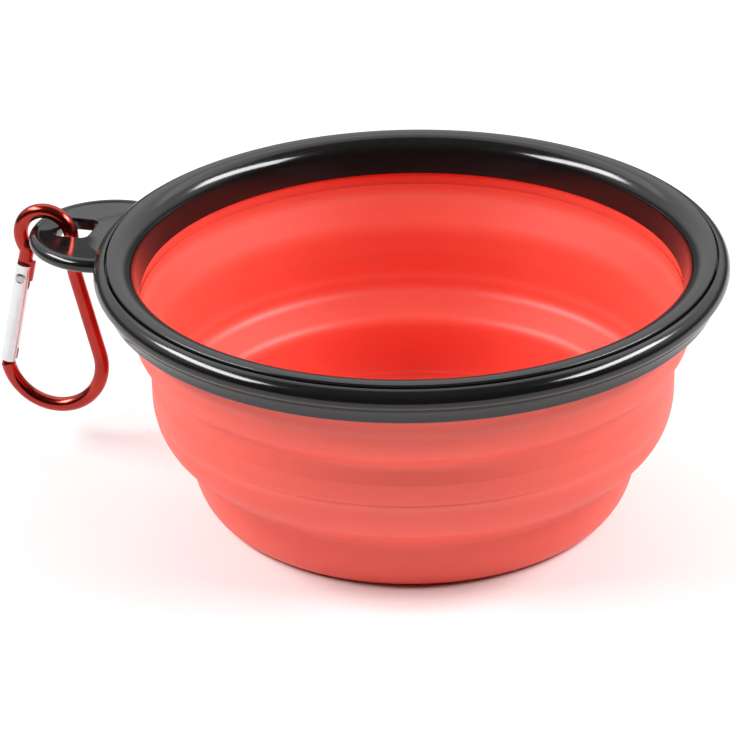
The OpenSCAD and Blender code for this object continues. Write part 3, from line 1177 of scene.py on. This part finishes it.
@dataclass
class Studio:
    """Pale table, soft lamps, surroundings and the camera."""

    distance: float = 639.4
    azimuth: float = 14.4
    elevation: float = 24.692
    roll: float = -0.01451
    lens: float = 154.13
    off_right: float = -8.705
    off_up: float = -24.7
    lamps: tuple[Softbox, ...] = (
        Softbox("left_softbox", (-0.78, -0.04), 0.74, (0.78, 0.26), 12.5),
        Softbox("right_softbox", (0.78, -0.04), 0.74, (0.78, 0.26), 12.5),
        Softbox("top_softbox", (0.0, 0.65), 1.1, (1.5, 0.8), 4.0),
    )
    lamp_aim: float = 0.03
    table: float = 1.1
    table_dark: Colour = (0.90, 0.90, 0.90)
    table_light: Colour = (0.93, 0.93, 0.93)
    shadow_near: float = 0.042
    shadow_far: float = 0.13
    white_near: float = 0.6
    pale_near: float = 0.2
    pale_far: float = 0.5
    back_glow: float = 1.2
    front_glow: float = 0.02
    top_glow: float = 0.12
    low_share: float = 0.08
    low_until: float = 0.12
    high_from: float = 0.42
    top_from: float = 0.5
    top_until: float = 0.95
    back_until: float = -0.5
    front_from: float = 0.35

    def camera(self) -> None:
        """Places the camera at the photograph's viewpoint."""
        az, el = math.radians(self.azimuth), math.radians(self.elevation)
        target = Vector((0.0, 0.0, span("rim_inner_ring")[1] * MM))
        level = math.cos(el)
        out = Vector((math.sin(az) * level, -math.cos(az) * level, math.sin(el)))
        eye = target + out * self.distance * MM
        right = Vector((math.cos(az), math.sin(az), 0.0))
        up = right.cross(-out)
        right, up = right + self.roll * up, up - self.roll * right
        right.normalize()
        up.normalize()
        aim = target + (right * self.off_right + up * self.off_up) * MM
        forward = (aim - eye).normalized()
        right = forward.cross(up).normalized()
        data = bpy.data.cameras.new("camera")
        data.sensor_width = 36.0
        data.lens = self.lens
        data.clip_start = 0.02
        camera = linked("camera", data)
        pose = Matrix((right, right.cross(forward), -forward)).transposed().to_4x4()
        camera.matrix_world = Matrix.Translation(eye) @ pose
        bpy.context.scene.camera = camera

    def lamp(self, box: Softbox) -> None:
        """Adds a soft lamp.

        Args:
            box: The lamp's name, place, size and power.
        """
        data = bpy.data.lights.new(box.name, "AREA")
        data.shape = "RECTANGLE"
        data.size, data.size_y = box.size
        data.energy = box.power
        obj = linked(box.name, data)
        turn = Matrix.Rotation(math.radians(self.azimuth), 4, "Z")
        spot = turn @ Vector((*box.place, box.height))
        facing = (Vector((0, 0, self.lamp_aim)) - spot).to_track_quat("-Z", "Y")
        obj.matrix_world = Matrix.Translation(spot) @ facing.to_matrix().to_4x4()

    def table_top(self) -> None:
        """Lays the pale table.

        To the camera, to mirrors and to glass it turns white away from the shadow.
        """
        half = self.table / 2
        mesh = bpy.data.meshes.new("table_top")
        plan = [(-half, -half, 0), (half, -half, 0), (half, half, 0), (-half, half, 0)]
        mesh.from_pydata(plan, [], [(0, 1, 2, 3)])
        table = linked("table_top", mesh)
        s = Surface("pale_table")
        tint = s.mix(s.marks(Marks(40.0)), self.table_dark, self.table_light)
        s.set(base_color=tint, roughness=0.6)
        s.marks(Marks(300.0, depth=0.0001, strength=0.1))
        ray = s.add("ShaderNodeLightPath")
        seen = Expr(s, ray.outputs["Is Camera Ray"]) + ray.outputs["Is Glossy Ray"]
        seen = seen + ray.outputs["Is Transmission Ray"]
        glow = s.add("ShaderNodeEmission", {"Strength": 1.0})
        away = s.value("ShaderNodeVectorMath", {0: s.place}, 1, operation="LENGTH")
        near = s.ramp(away, self.shadow_near, self.shadow_far, 0.0, self.white_near)
        rest = s.ramp(away, self.pale_near, self.pale_far, 0.0, 1.0 - self.white_near)
        values = {0: seen * (near + rest), 1: s.shader.outputs[0], 2: glow.outputs[0]}
        both = s.add("ShaderNodeMixShader", values)
        s.tree.links.new(both.outputs[0], s.output.inputs["Surface"])
        mesh.materials.append(s.material)

    def world(self) -> None:
        """Sets the surroundings: bright behind, dark low down, above and in front.

        The camera sees plain white, and mirrors and glass see it behind the bowl.
        """
        world = bpy.data.worlds.new("world")
        bpy.context.scene.world = world
        world.use_nodes = True
        g = Graph(world.node_tree)
        g.tree.nodes.clear()
        az = math.radians(self.azimuth)
        to_camera = (math.sin(az), -math.cos(az), 0.0)
        looking = g.value("ShaderNodeTexCoord", output="Generated")
        values = {0: looking, 1: to_camera}
        facing = g.value("ShaderNodeVectorMath", values, 1, operation="DOT_PRODUCT")
        height = g.value("ShaderNodeSeparateXYZ", {0: looking}, 2)
        back, front = self.back_until, self.front_from
        around = g.ramp(facing, back, front, self.back_glow, self.front_glow)
        behind = g.ramp(facing, back, front, 1.0, 0.0)
        raised = g.ramp(height, self.low_until, self.high_from, self.low_share, 1.0)
        above = g.ramp(height, self.top_from, self.top_until, 0.0, 1.0)
        strength = around * raised + (self.top_glow - around) * above
        ray = g.add("ShaderNodeLightPath")
        mirror = Expr(g, ray.outputs["Is Glossy Ray"])
        mirror = mirror + ray.outputs["Is Transmission Ray"]
        seen = mirror * (behind * raised * (1.0 - above)) + ray.outputs["Is Camera Ray"]
        soft = g.add("ShaderNodeBackground", {"Strength": strength})
        plain = {"Color": (1.0, 1.0, 1.0, 1.0), "Strength": 1.0}
        white = g.add("ShaderNodeBackground", plain)
        values = {0: seen, 1: soft.outputs[0], 2: white.outputs[0]}
        both = g.add("ShaderNodeMixShader", values)
        g.add("ShaderNodeOutputWorld", {0: both.outputs[0]})

    def build(self) -> None:
        """Sets up table, surroundings, lamps and camera."""
        self.table_top()
        self.world()
        for box in self.lamps:
            self.lamp(box)
        self.camera()
        bpy.context.scene.view_settings.view_transform = "Standard"


def main() -> None:
    """Builds and dresses every piece."""
    logging.basicConfig(level=logging.INFO, format="%(name)s: %(message)s")
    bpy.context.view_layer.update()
    silicone = SoftSilicone().material()
    finishes = (PLASTIC, ANODISED, SILVER, STEEL)
    plastic, red, silver, steel = (finish.material() for finish in finishes)
    lathe = Lathe()
    SiliconeTiers().build(lathe, silicone)
    HardRim().build(lathe, plastic)
    Carabiner().build(RodSweep(), red)
    dressed = {"carabiner_gate": silver, "gate_rivet": steel}
    dressed |= {"gate_plunger": steel, "gate_spring": steel}
    for node, finish in dressed.items():
        mesh = FRAME["nodes"][node].data
        mesh.materials.clear()
        mesh.materials.append(finish)
        LOG.info("%s: finish %s", node, finish.name)
    Studio().build()


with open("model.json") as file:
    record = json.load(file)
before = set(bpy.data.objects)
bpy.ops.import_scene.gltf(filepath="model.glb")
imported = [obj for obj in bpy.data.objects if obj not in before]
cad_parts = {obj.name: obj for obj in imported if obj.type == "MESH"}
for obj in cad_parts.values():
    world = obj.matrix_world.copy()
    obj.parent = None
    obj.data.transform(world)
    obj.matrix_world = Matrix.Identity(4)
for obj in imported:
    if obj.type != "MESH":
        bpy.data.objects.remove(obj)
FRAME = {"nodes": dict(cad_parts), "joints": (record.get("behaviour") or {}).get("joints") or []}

if __name__ == "__main__":
    main()
